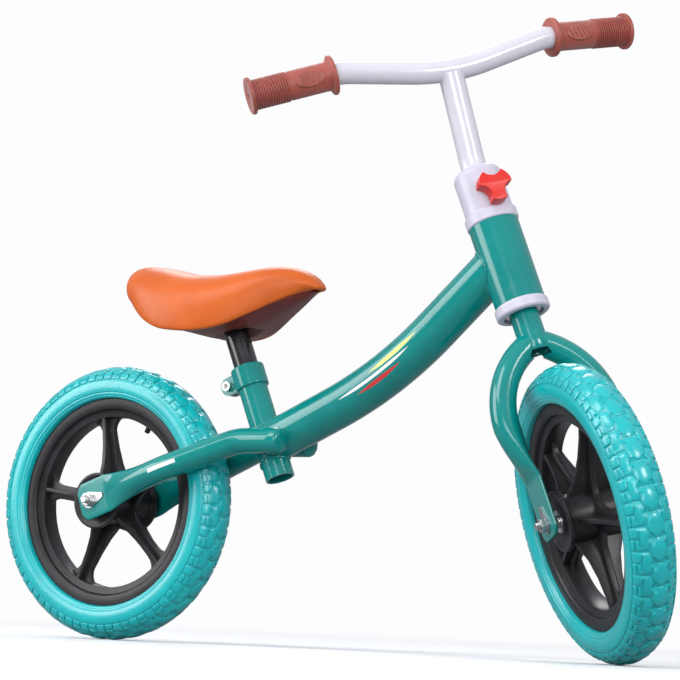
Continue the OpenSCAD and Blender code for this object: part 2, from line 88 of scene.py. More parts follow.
# %% Selecting, editing and finishing
def let_go():
    """Object mode, with nothing selected."""
    if bpy.context.object and bpy.context.object.mode != "OBJECT":
        bpy.ops.object.mode_set(mode="OBJECT")
    bpy.ops.object.select_all(action="DESELECT")


def hold(*pieces):
    """Selects just these pieces, the first of them active."""
    let_go()
    for piece in pieces:
        piece.select_set(True)
    bpy.context.view_layer.objects.active = pieces[0]
    return pieces[0]


def named(name):
    """Names the new primitive and puts its place into its mesh."""
    piece = bpy.context.object
    piece.name = piece.data.name = name
    bpy.ops.object.transform_apply(location=True, rotation=True, scale=True)
    return piece


def edit(piece):
    hold(piece)
    bpy.ops.object.mode_set(mode="EDIT")
    bpy.ops.mesh.select_mode(type="VERT")


def pick(piece, kind, test):
    """Selects the FACEs (test of centre and normal) or VERTs (test of place) that pass."""
    bpy.ops.object.mode_set(mode="OBJECT")
    mesh = piece.data
    faces = [kind == "FACE" and test(face.center, face.normal) for face in mesh.polygons]
    points = [kind == "VERT" and test(vert.co) for vert in mesh.vertices]
    mesh.edges.foreach_set("select", [False] * len(mesh.edges))
    mesh.vertices.foreach_set("select", points)
    mesh.polygons.foreach_set("select", faces)
    bpy.ops.object.mode_set(mode="EDIT")
    bpy.ops.mesh.select_mode(type=kind)
    if kind == "FACE":
        bpy.ops.object.mode_set(mode="OBJECT")
        mesh.vertices.foreach_set("select", [False] * len(mesh.vertices))
        mesh.edges.foreach_set("select", [False] * len(mesh.edges))
        mesh.polygons.foreach_set("select", faces)
        bpy.ops.object.mode_set(mode="EDIT")
    return sum(faces) + sum(points)


def tidy(piece, gap=1e-6):
    """Merges doubled points and turns every face outwards."""
    edit(piece)
    bpy.ops.mesh.select_all(action="SELECT")
    bpy.ops.mesh.remove_doubles(threshold=gap)
    bpy.ops.mesh.normals_make_consistent(inside=False)
    let_go()
    return piece


def modify(piece, kind, **values):
    """Adds one modifier with these values and applies it."""
    hold(piece)
    made = piece.modifiers.new(kind.title(), kind)
    for key, value in values.items():
        setattr(made, key, value)
    bpy.ops.object.modifier_apply(modifier=made.name)
    return piece


def soften(piece, width, segments=2, angle=35):
    """Rounds the sharp edges, and shades what is left smooth."""
    modify(piece, "BEVEL", width=width, segments=segments, limit_method="ANGLE",
           angle_limit=math.radians(angle), use_clamp_overlap=True)
    return smooth(piece)


def smooth(piece, angle=40):
    hold(piece)
    bpy.ops.object.shade_smooth_by_angle(angle=math.radians(angle))
    return piece


def place(piece, matrix):
    """Stands the piece where the matrix says, with its place in its mesh."""
    hold(piece)
    piece.matrix_world = matrix
    bpy.ops.object.transform_apply(location=True, rotation=True, scale=True)
    if matrix.determinant() < 0:
        tidy(piece)
    return piece


def twin(piece, name):
    """A copy with its own mesh."""
    hold(piece)
    bpy.ops.object.duplicate()
    copy = bpy.context.object
    copy.name = copy.data.name = name
    return copy


def join(name, *pieces):
    hold(*pieces)
    if len(pieces) > 1:
        bpy.ops.object.join()
    piece = bpy.context.object
    piece.name = piece.data.name = name
    return piece


print("helpers ready")

# %% [markdown]
# ## Two ways to shape a round thing
# A turned or moulded ring is a half outline spun round its axis, as on a lathe. A bent
# tube is a circle that is pushed along and spun round each bend's centre, which is what
# the bending machine does. With no window open, spin turns the other way round its axis,
# so the angles here are given with a minus.

# %% Lathe and bent tube
def lathe(name, outline, steps=96):
    """Spins an outline of (radius, height) points, in millimetres, round Z."""
    start = Vector((outline[0][0], 0, outline[0][1])) * MM
    let_go()
    bpy.ops.mesh.primitive_plane_add(size=1e-4, location=start)
    piece = named(name)
    edit(piece)
    bpy.ops.mesh.select_all(action="SELECT")
    bpy.ops.mesh.merge(type="CENTER")
    for here, there in zip(outline, outline[1:]):
        push = ((there[0] - here[0]) * MM, 0, (there[1] - here[1]) * MM)
        bpy.ops.mesh.extrude_region_move(TRANSFORM_OT_translate={"value": push})
    bpy.ops.mesh.select_all(action="SELECT")
    bpy.ops.mesh.spin(steps=steps, angle=2 * math.pi, center=(0, 0, 0), axis=(0, 0, 1))
    return smooth(tidy(piece))


def bent_tube(name, start, ahead, radius, moves, sides=32):
    """A tube from start: each move is ("run", length, rings) or ("bend", radius, angle, towards)."""
    ahead = Vector(ahead).normalized()
    let_go()
    bpy.ops.mesh.primitive_circle_add(vertices=sides, radius=radius * MM, location=(0, 0, 0))
    piece = named(name)
    place(piece, Matrix.Translation(Vector(start) * MM) @ ahead.to_track_quat("Z", "Y").to_matrix().to_4x4())
    edit(piece)
    bpy.ops.mesh.select_all(action="SELECT")
    here = Vector(start) * MM
    for move in moves:
        if move[0] == "run":
            for _ in range(move[2]):
                push = ahead * move[1] * MM / move[2]
                bpy.ops.mesh.extrude_region_move(TRANSFORM_OT_translate={"value": push})
                here = here + push
        else:
            towards = Vector(move[3])
            towards = (towards - ahead * towards.dot(ahead)).normalized()
            centre = here + towards * move[1] * MM
            axis = ahead.cross(towards)
            bpy.ops.mesh.spin(steps=max(4, round(move[2] / 4)), angle=-math.radians(move[2]),
                              center=centre, axis=axis)
            turn = Matrix.Rotation(math.radians(move[2]), 3, axis)
            here = centre + turn @ (here - centre)
            ahead = turn @ ahead
    let_go()
    return piece, here, ahead


print("lathe and bent tube ready")

# %% [markdown]
# ## Finishes
# Paint, moulded plastic, foam and plated steel all show small changes over a surface: a
# slow drift of colour, fine dust, the ripple of sprayed enamel, the grain of a mould. Each
# effect is one node group with named inputs, and every material places it with its own
# values. What is the same all over a surface is set on the shader itself.

# %% Building node groups and materials
def group(name, inputs, outputs):
    """An empty node group. An input is a vector if it has no value, a colour if it has four."""
    tree = bpy.data.node_groups.new(name, "ShaderNodeTree")
    for label, value in inputs.items():
        kind = "Vector" if value is None else "Float" if isinstance(value, float) else "Color"
        made = tree.interface.new_socket(label, in_out="INPUT", socket_type="NodeSocket" + kind)
        if value is not None:
            made.default_value = value
    for label in outputs:
        kind = "Color" if label == "Colour" else "Float"
        tree.interface.new_socket(label, in_out="OUTPUT", socket_type="NodeSocket" + kind)
    return tree, tree.nodes.new("NodeGroupInput").outputs, tree.nodes.new("NodeGroupOutput").inputs


def add(tree, kind, inputs=(), **values):
    """Adds a node, sets its properties, and feeds its inputs with values or sockets."""
    node = tree.nodes.new(kind)
    for key, value in values.items():
        setattr(node, key, value)
    for key, value in dict(inputs).items():
        if isinstance(value, bpy.types.NodeSocket):
            tree.links.new(value, node.inputs[key])
        else:
            node.inputs[key].default_value = value
    return node


def math_node(tree, operation, *feeds):
    return add(tree, "ShaderNodeMath", dict(enumerate(feeds)), operation=operation).outputs[0]


def plus(tree, one, other):
    return math_node(tree, "ADD", one, other)


def less(tree, one, other):
    return math_node(tree, "SUBTRACT", one, other)


def times(tree, one, other):
    return math_node(tree, "MULTIPLY", one, other)


def noise(tree, vector, scale, detail=2.0, roughness=0.5):
    return add(tree, "ShaderNodeTexNoise",
               {"Vector": vector, "Scale": scale, "Detail": detail, "Roughness": roughness}).outputs["Fac"]


def between(tree, value, low, high, to_low=0.0, to_high=1.0):
    """Stretches a value between two levels, smoothly."""
    feeds = {"Value": value, "From Min": low, "From Max": high, "To Min": to_low, "To Max": to_high}
    return add(tree, "ShaderNodeMapRange", feeds, interpolation_type="SMOOTHSTEP").outputs["Result"]


def blend_colour(tree, share, one, other, mode="MIX"):
    node = add(tree, "ShaderNodeMix", data_type="RGBA", blend_type=mode)
    for key, value in ((0, share), (6, one), (7, other)):
        if isinstance(value, bpy.types.NodeSocket):
            tree.links.new(value, node.inputs[key])
        else:
            node.inputs[key].default_value = value
    return node.outputs[2]


print("node helpers ready")

# %% Sprayed surface: slow colour drift, dust specks and orange peel
sprayed, given, out = group(
    "Sprayed surface",
    {"Vector": None, "Colour": (1, 1, 1, 1), "Deep colour": (0, 0, 0, 1), "Drift": 0.5,
     "Roughness": 0.2, "Dust": 0.3}, ("Colour", "Roughness", "Height"))
drift = between(sprayed, noise(sprayed, given["Vector"], 14.0, 3.0), 0.35, 0.68)
drift = times(sprayed, drift, given["Drift"])
base = blend_colour(sprayed, drift, given["Colour"], given["Deep colour"])
specks = between(sprayed, noise(sprayed, given["Vector"], 1300.0, 1.0), 0.74, 0.8)
film = between(sprayed, noise(sprayed, given["Vector"], 55.0, 4.0, 0.65), 0.52, 0.8, 0.0, 0.35)
dust = times(sprayed, math_node(sprayed, "MAXIMUM", specks, film), given["Dust"])
dusty = blend_colour(sprayed, times(sprayed, dust, 0.22), base, (0.72, 0.7, 0.68, 1))
peel = noise(sprayed, given["Vector"], 420.0, 1.0)
rough = plus(sprayed, given["Roughness"], times(sprayed, dust, 0.3))
sprayed.links.new(dusty, out["Colour"])
sprayed.links.new(rough, out["Roughness"])
sprayed.links.new(plus(sprayed, peel, times(sprayed, dust, 0.1)), out["Height"])
print("group", sprayed.name)

# %% Moulded surface: fine grain, cloudy colour and faint scuffs
moulded, given, out = group(
    "Moulded surface",
    {"Vector": None, "Colour": (1, 1, 1, 1), "Cloud colour": (1, 1, 1, 1), "Clouds": 0.5,
     "Grain size": 900.0, "Roughness": 0.5, "Scuffs": 0.3}, ("Colour", "Roughness", "Height"))
clouds = between(moulded, noise(moulded, given["Vector"], 26.0, 4.0, 0.6), 0.36, 0.7)
clouds = times(moulded, clouds, given["Clouds"])
base = blend_colour(moulded, clouds, given["Colour"], given["Cloud colour"])
grain = add(moulded, "ShaderNodeTexVoronoi",
            {"Vector": given["Vector"], "Scale": given["Grain size"]},
            feature="SMOOTH_F1").outputs["Distance"]
long_way = add(moulded, "ShaderNodeVectorMath", {0: given["Vector"], 1: (1.0, 6.0, 2.5)},
               operation="MULTIPLY").outputs["Vector"]
scuffs = between(moulded, noise(moulded, long_way, 70.0, 5.0, 0.7), 0.62, 0.78)
scuffs = times(moulded, scuffs, given["Scuffs"])
rough = plus(moulded, given["Roughness"], times(moulded, scuffs, 0.2))
pale = blend_colour(moulded, times(moulded, scuffs, 0.12), base, (0.8, 0.8, 0.8, 1))
moulded.links.new(pale, out["Colour"])
moulded.links.new(rough, out["Roughness"])
moulded.links.new(less(moulded, grain, times(moulded, scuffs, 0.3)),
                  out["Height"])
print("group", moulded.name)

# %% Plated surface: brushed lines, tiny pits and a cloudy tint
plated, given, out = group(
    "Plated surface",
    {"Vector": None, "Colour": (1, 1, 1, 1), "Tint": (1, 1, 1, 1), "Roughness": 0.2},
    ("Colour", "Roughness", "Height"))
cloudy = between(plated, noise(plated, given["Vector"], 160.0, 3.0), 0.4, 0.65)
lines = add(plated, "ShaderNodeVectorMath", {0: given["Vector"], 1: (9.0, 1.0, 9.0)},
            operation="MULTIPLY").outputs["Vector"]
brushed = noise(plated, lines, 380.0, 3.0)
pits = between(plated, noise(plated, given["Vector"], 1900.0, 1.0), 0.7, 0.8)
plated.links.new(blend_colour(plated, cloudy, given["Colour"], given["Tint"]), out["Colour"])
plated.links.new(plus(plated, given["Roughness"],
                           times(plated, plus(plated, brushed, pits), 0.16)),
                 out["Roughness"])
plated.links.new(less(plated, brushed, pits), out["Height"])
print("group", plated.name)

# %% [markdown]
# ## Materials
# `finish` starts a material from one of the groups: its colour, roughness and height feed
# the shader, and the height passes through a Bump node. The shader's own sockets, such as
# its coat or its sheen, are set as plain values.

# %% A material from a group
def finish(name, surface, values, shader=(), bump=0.2, depth=0.0004):
    """A material whose Principled shader is fed by one surface group on Object coordinates."""
    material = bpy.data.materials.new(name)
    material.use_nodes = True
    tree = material.node_tree
    principled = tree.nodes["Principled BSDF"]
    where = add(tree, "ShaderNodeTexCoord").outputs["Object"]
    effect = add(tree, "ShaderNodeGroup", node_tree=surface)
    tree.links.new(where, effect.inputs["Vector"])
    for key, value in values.items():
        effect.inputs[key].default_value = value
    height = add(tree, "ShaderNodeBump",
                 {"Height": effect.outputs["Height"], "Strength": bump, "Distance": depth})
    tree.links.new(effect.outputs["Colour"], principled.inputs["Base Color"])
    tree.links.new(effect.outputs["Roughness"], principled.inputs["Roughness"])
    tree.links.new(height.outputs["Normal"], principled.inputs["Normal"])
    for key, value in dict(shader).items():
        principled.inputs[key].default_value = value
    return material


teal = finish("frame_enamel", sprayed,
              {"Colour": (0.0, 0.235, 0.215, 1), "Deep colour": (0.0, 0.19, 0.18, 1), "Drift": 0.6,
               "Roughness": 0.16, "Dust": 0.35},
              {"Coat Weight": 0.4, "Coat Roughness": 0.07, "Specular IOR Level": 0.35}, bump=0.06)
white = finish("bar_enamel", sprayed,
               {"Colour": (0.66, 0.65, 0.71, 1), "Deep colour": (0.6, 0.59, 0.67, 1), "Drift": 0.5,
                "Roughness": 0.17, "Dust": 0.4},
               {"Coat Weight": 0.3, "Coat Roughness": 0.08}, bump=0.06)
black_paint = finish("post_enamel", sprayed,
                     {"Colour": (0.008, 0.008, 0.01, 1), "Deep colour": (0.02, 0.018, 0.022, 1), "Drift": 0.6,
                      "Roughness": 0.16, "Dust": 0.5}, {"Coat Weight": 0.3, "Coat Roughness": 0.1}, bump=0.06)
lavender = finish("collar_plastic", moulded,
                  {"Colour": (0.6, 0.58, 0.68, 1), "Cloud colour": (0.53, 0.51, 0.61, 1), "Clouds": 0.6,
                   "Grain size": 1500.0, "Roughness": 0.3, "Scuffs": 0.4}, bump=0.05)
red = finish("knob_plastic", moulded,
             {"Colour": (0.72, 0.02, 0.01, 1), "Cloud colour": (0.6, 0.014, 0.008, 1), "Clouds": 0.5,
              "Grain size": 1500.0, "Roughness": 0.3, "Scuffs": 0.3}, bump=0.06)
rubber = finish("grip_rubber", moulded,
                {"Colour": (0.36, 0.072, 0.047, 1), "Cloud colour": (0.26, 0.045, 0.03, 1), "Clouds": 0.8,
                 "Grain size": 2200.0, "Roughness": 0.45, "Scuffs": 0.8},
                {"Sheen Weight": 0.25, "Sheen Roughness": 0.5}, bump=0.25)
maroon = finish("pan_plastic", moulded,
                {"Colour": (0.2, 0.022, 0.014, 1), "Cloud colour": (0.12, 0.013, 0.009, 1), "Clouds": 0.8,
                 "Grain size": 1100.0, "Roughness": 0.42, "Scuffs": 0.6}, bump=0.3)
skin = finish("saddle_skin", moulded,
              {"Colour": (0.6, 0.118, 0.014, 1), "Cloud colour": (0.52, 0.094, 0.011, 1), "Clouds": 0.8,
               "Grain size": 1500.0, "Roughness": 0.36, "Scuffs": 0.35},
              {"Specular IOR Level": 0.28, "Sheen Weight": 0.02}, bump=0.12)
foam = finish("tyre_foam", moulded,
              {"Colour": (0.0, 0.45, 0.47, 1), "Cloud colour": (0.0, 0.37, 0.4, 1), "Clouds": 0.7,
               "Grain size": 1300.0, "Roughness": 0.3, "Scuffs": 0.5},
              {"Coat Weight": 0.5, "Coat Roughness": 0.16}, bump=0.2)
rim_black = finish("rim_plastic", moulded,
                   {"Colour": (0.016, 0.015, 0.017, 1), "Cloud colour": (0.03, 0.027, 0.031, 1),
                    "Clouds": 0.7,
                    "Grain size": 1000.0, "Roughness": 0.34, "Scuffs": 0.5},
                   {"Specular IOR Level": 0.3}, bump=0.25)
zinc = finish("zinc_steel", plated,
              {"Colour": (0.6, 0.6, 0.59, 1), "Tint": (0.47, 0.48, 0.51, 1), "Roughness": 0.22},
              {"Metallic": 1.0}, bump=0.15, depth=0.0002)
steel = finish("bearing_steel", plated,
               {"Colour": (0.64, 0.64, 0.65, 1), "Tint": (0.5, 0.5, 0.52, 1), "Roughness": 0.1},
               {"Metallic": 1.0}, bump=0.08, depth=0.0002)
print(len(bpy.data.materials), "materials")

# %% Every carried-over node takes its slot's finish
by_slot = {"frame_paint": teal, "collar_plastic": lavender, "bearing_steel": steel, "zinc_steel": zinc,
           "bar_paint": white, "grip_rubber": rubber, "knob_plastic": red, "post_paint": black_paint,
           "pan_plastic": maroon, "saddle_skin": skin, "rim_plastic": rim_black, "tyre_foam": foam}


def wear(piece, material):
    """Gives the whole piece one material."""
    piece.data.materials.clear()
    piece.data.materials.append(material)
    return piece


def belongs(piece, body, slot, material=None, replaces=()):
    """The last step for each new piece: its finish, its body and the nodes it stands for."""
    wear(piece, material or by_slot[slot])
    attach(piece, body)
    if replaces:
        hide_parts(*replaces)
    print("piece", piece.name, "on", body, "-", len(piece.data.polygons), "faces")
    return piece


slot_of = {part["node"]: part["material_slot"] for part in frame["record"]["subparts"]}
for node_name, node in frame["nodes"].items():
    for place_in_list in node.material_slots:
        place_in_list.material = by_slot[slot_of[node_name]]
print("finishes on", len(frame["nodes"]), "nodes")

# %% [markdown]
# ## Tyres
# The tyre is one ring of solid foam, moulded with its tread. It has no cords and no air.
# The tread repeats 38 times a turn, so one pitch is shaped flat, like a strip of rubber on
# a table, and only then wrapped round the wheel and copied. The grooves are pressed into
# the strip by extruding their faces down, which leaves honeycomb blocks in the middle and
# stepped pads on the shoulders.

# %% One flat pitch of tread
pitches = 38
pad_lift, groove_depth = 0.6, 0.75
tyre_r, ring_r, section_r = 145.0, 122.0, 23.0
pitch = 2 * math.pi * tyre_r / pitches
columns = [0, 1.1, 4.4, 7.8, 10.9, 13.1, 16.2, 19.6, 22.9, 24.0]
columns = [c * pitch / 24.0 for c in columns]
zigzag = {6.6: 2.4, 8.3: 2.4, 16.4: 1.5, 18.0: 1.5}
upper_rows = [0, 3.3, 6.6, 8.3, 12.2, 16.4, 18.0, 21.8, 23.2, 27.6, 28.8, 32, 36, 39.5,
              41.6, 42.2, 42.8, 43.4, 45.2, 45.8, 46.4, 47.2]
seat_rows = {48: (110.1, 18.7), 49: (110.1, 13.45), 50: (104.05, 13.45), 51: (104.05, 0.0)}
positive = upper_rows + list(seat_rows)
rows = [-v for v in reversed(positive[1:])] + positive
fine_rings = {42.2: -0.6, 42.8: -0.6, 45.8: -0.45}


def triangle_wave(u):
    """One where the middle blocks are widest, minus one at the ends of the pitch."""
    return 1.0 - 4.0 * abs(u / pitch - 0.5)


let_go()
bpy.ops.mesh.primitive_grid_add(x_subdivisions=len(columns) - 1, y_subdivisions=len(rows) - 1, size=0.1)
strip = named("tread_pitch")
for index, vert in enumerate(strip.data.vertices):
    row, column = divmod(index, len(columns))
    v, u = rows[row], columns[column]
    shift = zigzag.get(abs(v), 0.0) * triangle_wave(u) * (1 if abs(v) < 10 else -1)
    dome = abs(u / pitch - 0.5) * 2 if abs(v) < 7 else 1 - abs(u / pitch - 0.5) * 2
    sunk = fine_rings.get(abs(v), 0.0) - (1.5 * dome ** 3 if abs(v) < 17 else 0.0)
    vert.co = Vector((u, v + math.copysign(shift, v), sunk)) * MM


def is_groove(at, normal):
    """The faces between the blocks: zigzags along the tread and cuts across it."""
    u, v = at.x / MM, abs(at.y / MM)
    wave = triangle_wave(u)
    along = 6.6 < v - 2.4 * wave < 8.3 or 16.4 < v + 1.5 * wave < 18.0
    end_cut = u < columns[1] or u > columns[-2]
    middle_cut = columns[4] < u < columns[5]
    across = (end_cut and v < 6.6 + 2.4 * wave) or (middle_cut and 8 + 2.4 * wave < v < 16.6 - 1.5 * wave)
    shoulder = 17.8 - 1.5 * wave < v < 28.8
    between_pads = shoulder and (end_cut or middle_cut)
    stepped = 21.8 < v < 23.2 and u > columns[5]
    return along or across or between_pads or stepped or 27.6 < v < 28.8


def is_pad(at, normal):
    """The shoulder pads stand a little above the tread."""
    v = abs(at.y / MM)
    return 17.9 - 1.5 * triangle_wave(at.x / MM) < v < 27.6 and not is_groove(at, normal)


edit(strip)
print(pick(strip, "FACE", is_pad), "pad faces")
bpy.ops.mesh.extrude_region_move(TRANSFORM_OT_translate={"value": (0, 0, pad_lift * MM)})
print(pick(strip, "FACE", lambda at, normal: normal.z > 0.7 and at.z < 0.4 * MM and is_groove(at, normal)),
      "groove faces")
bpy.ops.mesh.extrude_region_move(TRANSFORM_OT_translate={"value": (0, 0, -groove_depth * MM)})
# A wall at either end of the pitch would stand inside the tyre once the next pitch joins it
pick(strip, "FACE", lambda at, normal: min(at.x, pitch * MM - at.x) < 0.01 * MM)
bpy.ops.mesh.delete(type="ONLY_FACE")
let_go()
print("one pitch has", len(strip.data.polygons), "faces")

# %% Wrapped round the section and copied round the wheel
def on_tyre(at):
    """Carries a point of the flat strip to its place on the tyre."""
    u, v, lift = at.x / MM, at.y / MM, at.z / MM
    if abs(v) > 47.5:
        radius, across = seat_rows[round(abs(v))]
        across = math.copysign(across, v)
    else:
        depth = lift * (1.0 if abs(v) < 30 else 0.8)
        radius = ring_r + (section_r + depth) * math.cos(v / section_r)
        across = (section_r + depth) * math.sin(v / section_r)
    turn = u / tyre_r
    return Vector((radius * math.cos(turn), radius * math.sin(turn), across)) * MM


for vert in strip.data.vertices:
    vert.co = on_tyre(vert.co)
edit(strip)
bpy.ops.mesh.select_all(action="SELECT")
bpy.ops.mesh.spin(steps=pitches, dupli=True, angle=2 * math.pi, center=(0, 0, 0), axis=(0, 0, 1))
tyre = tidy(strip, gap=2e-5)
modify(tyre, "BEVEL", width=0.4 * MM, segments=2, limit_method="ANGLE", angle_limit=math.radians(38))
smooth(tyre, 50)
tyre_angle = {"rear": 4.0, "front": 1.0}
for side, stood in (("rear", at_rear), ("front", at_front)):
    piece = twin(tyre, side + "_tyre_tread")
    place(piece, stood @ Matrix.Rotation(math.radians(tyre_angle[side]), 4, "Z"))
    belongs(piece, side + "_wheel", "tyre_foam", replaces=(side + "_tyre",))
bpy.data.objects.remove(tyre)

# %% [markdown]
# ## Wheels
# Each wheel is one black moulding: a hooked ring that grips the tyre, five webs with a rib
# down the middle of each, and a hub barrel between two discs. Ring and hub are turned on
# the lathe. One web with its rib is cut from slabs, its corners flared as a mould maker
# would, and copied round.

# %% Slabs with rounded edges
def slab(name, outline, low, high, round_by=0.8, segments=3):
    """A flat plate with this outline, in millimetres, from low to high along Z."""
    let_go()
    bpy.ops.mesh.primitive_circle_add(vertices=len(outline), radius=0.01, fill_type="NGON")
    piece = named(name)
    for vert, (x, y) in zip(piece.data.vertices, outline):
        vert.co = Vector((x, y, low)) * MM
    edit(piece)
    bpy.ops.mesh.select_all(action="SELECT")
    bpy.ops.mesh.extrude_region_move(TRANSFORM_OT_translate={"value": (0, 0, (high - low) * MM)})
    tidy(piece)
    return soften(piece, round_by * MM, segments) if round_by else piece


def mirrored(outline):
    """The outline and its mirror image across X, as one closed outline."""
    return outline + [(x, -y) for x, y in reversed(outline)]


print("slab ready")

# %% The ring, the hub, a web and its rib
hook = [(103.6, 0), (103.6, 13.2), (104.4, 13.4), (109.6, 13.4), (110.0, 13.8), (110.0, 15.2),
        (109.3, 15.9), (106, 16), (101.5, 15.8), (99.4, 15.2), (98.4, 14.4), (97.9, 13), (97.4, 11.4),
        (96.2, 10.7), (91.8, 10.7), (90.6, 10.2), (90.1, 9.2), (90.0, 0)]
ring = lathe("rim_ring", [(r, -z) for r, z in reversed(hook[1:])] + hook, 180)
hub_half = [(9.05, 0), (9.05, 27.9), (11.05, 27.9), (11.05, 34.6), (11.5, 35), (15, 35), (15.5, 34.5),
            (16.2, 34.2), (24.5, 34.2), (25.2, 34.5), (25.8, 35), (28.6, 35), (29.3, 34.6), (29.5, 34),
            (29.5, 32), (29.2, 31.4), (28.6, 31), (25.4, 30.8), (24.3, 30), (24, 28.6), (23.7, 0)]
hub = lathe("rim_hub", [(r, -z) for r, z in reversed(hub_half[1:])] + hub_half, 96)
web_half = [(12, 16), (24, 15.2), (28.5, 12.6), (33, 10.0), (38, 8.6), (46, 7.8), (60, 7.3), (72, 7.4),
            (78, 8.0), (82.5, 9.8), (86, 12.8), (88.4, 16.6), (89.4, 20.6), (93, 23.5)]
web = slab("web", mirrored(web_half), -3.2, 3.2, 1.2)
rib_half = [(12, 25), (24, 24.4), (31, 21.4), (42, 16.4), (60, 12.2), (80, 10.0), (97.5, 9.6),
            (99.5, 12.6), (101.5, 15.4)]
rib = slab("rib", mirrored(rib_half), -2.3, 2.3, 0.7)
place(rib, Matrix.Rotation(math.radians(90), 4, "X"))
spoke = join("spoke", web, rib)
peg = lathe("peg", [(0, 0), (2.9, 0), (2.9, 7.2), (2.5, 7.8), (1.9, 8.2), (0, 8.2)], 24)
print("ring, hub and spoke ready")

# %% Five spokes to each wheel, and the peg beside the lip
first_spoke = {"rear": 100.0, "front": 48.0}
peg_angle = {"rear": 64.0, "front": 300.0}
for side, stood in (("rear", at_rear), ("front", at_front)):
    members = [twin(ring, "ring copy"), twin(hub, "hub copy")]
    for number in range(5):
        copy = twin(spoke, "spoke copy")
        place(copy, Matrix.Rotation(math.radians(first_spoke[side] + 72 * number), 4, "Z"))
        members.append(copy)
    wheel = join(side + "_wheel_moulding", *members)
    place(wheel, stood)
    belongs(wheel, side + "_wheel", "rim_plastic", replaces=(side + "_rim",))
    stub = twin(peg, side + "_peg")
    inward = Matrix.Translation((90.5 * MM, 0, 0)) @ Matrix.Rotation(math.radians(-90), 4, "Y")
    place(stub, stood @ Matrix.Rotation(math.radians(peg_angle[side]), 4, "Z") @ inward)
    belongs(stub, side + "_wheel", "rim_plastic", replaces=(side + "_valve_peg",))
for pattern_piece in (ring, hub, spoke, peg):
    bpy.data.objects.remove(pattern_piece)

# %% [markdown]
# ## Stays and fork legs
# These are round steel tubes whose ends are pressed flat to take the axle. The tube is
# drawn and bent first, as on the machine, and its end is then squeezed: each ring of the
# mesh goes over from a circle to a slot shape, the more the nearer it is to the axle. The
# squeeze starts suddenly at the flat, which leaves the crease that the press makes.

# %% Pressing a tube's end flat
def pressed(across, up, share):
    """A point of a circle of radius 13, moved part of the way to a flat slot 40 by 4."""
    half_flat, half_thick = 18.2, 1.8
    quarter = math.atan2(abs(up), abs(across)) / (math.pi / 2)
    length = quarter * (half_flat + half_thick * math.pi / 2)
    if length < half_flat:
        flat = (half_thick, length)
    else:
        turn = (length - half_flat) / half_thick
        flat = (half_thick * math.cos(turn), half_flat + half_thick * math.sin(turn))
    flat = (math.copysign(flat[0], across), math.copysign(flat[1], up))
    return across + (flat[0] - across) * share, up + (flat[1] - up) * share


def press_end(piece, centre, along, up, out, flat_to, round_from, shift=0.0):
    """Squeezes the tube between round_from and flat_to, in millimetres from the centre."""
    for vert in piece.data.vertices:
        at = (vert.co - centre) / MM
        station = at.dot(along)
        if station > round_from:
            continue
        share = min(1.0, (round_from - station) / (round_from - flat_to))
        share = 0.35 * share + 0.65 * share * share
        across, height = pressed(at.dot(out), at.dot(up), share)
        if station < -6.0:
            height *= 1.0 - 0.36 * ((-6.0 - station) / 7.5) ** 2
        vert.co = centre + (along * station + up * height + out * (across + shift * share)) * MM


def close_end(piece, test, dome):
    """Fills an open end and pulls it out a little, so that it is not razor flat."""
    edit(piece)
    pick(piece, "VERT", test)
    bpy.ops.mesh.edge_face_add()
    for share, shrink in ((0.42, 0.94), (0.33, 0.84), (0.25, 0.55)):
        bpy.ops.mesh.extrude_region_move(TRANSFORM_OT_translate={"value": Vector(dome) * share})
        bpy.ops.transform.resize(value=(shrink, shrink, shrink))
    let_go()


def tab_hole(piece, at, along):
    """Drills the small round hole that the washer's tab hooks into."""
    let_go()
    bpy.ops.mesh.primitive_cylinder_add(vertices=24, radius=2.1 * MM, depth=14 * MM, location=at)
    drill = named("drill")
    place(drill, Matrix.Translation(at) @ along.to_track_quat("Z", "Y").to_matrix().to_4x4()
          @ Matrix.Translation(-at))
    modify(piece, "BOOLEAN", operation="DIFFERENCE", object=drill, solver="EXACT")
    bpy.data.objects.remove(drill)


print("press ready")

# %% The two stays
tube_r, stay_y, tab_up, past_axle = 13.0, 43.0, 17.0, 13.5
slope = math.radians(20)
rise = Vector((math.cos(slope), 0, math.sin(slope)))
square_to_rise = Vector((-math.sin(slope), 0, math.cos(slope)))
left = Vector((0, 1, 0))
plate_centre = rear_axle + left * stay_y * MM
tail = plate_centre - rise * past_axle * MM
inwards = Vector((80, -16, 29.1)).normalized()
stay, stay_front, _ = bent_tube("stay_left_tube", tail / MM, rise, tube_r, [
    ("run", 7.5, 5), ("run", 97.8, 30), ("bend", 100, 10.6, inwards), ("run", 65.4, 6),
    ("bend", 60, 22.5, Vector((1, 0, 0))), ("run", 39.0, 4)], sides=64)
close_end(stay, lambda at: at.x > stay_front.x - 0.2 * MM, (5.5 * MM, 0, 0))
close_end(stay, lambda at: (at - tail).dot(rise) < 0.1 * MM, -rise * 0.3 * MM)
press_end(stay, plate_centre, rise, square_to_rise, left, 24.0, 75.0)
tidy(stay)
stay_right = twin(stay, "stay_right_tube")
place(stay_right, Matrix.Scale(-1, 4, left))
for piece, side, y in ((stay, "left", stay_y), (stay_right, "right", -stay_y)):
    tab_hole(piece, Vector((0, y * MM, rear_axle.z)) + rise * tab_up * MM, left)
    soften(piece, 0.5 * MM, 2, 50)
    belongs(piece, "frame", "frame_paint", replaces=("stay_" + side,))

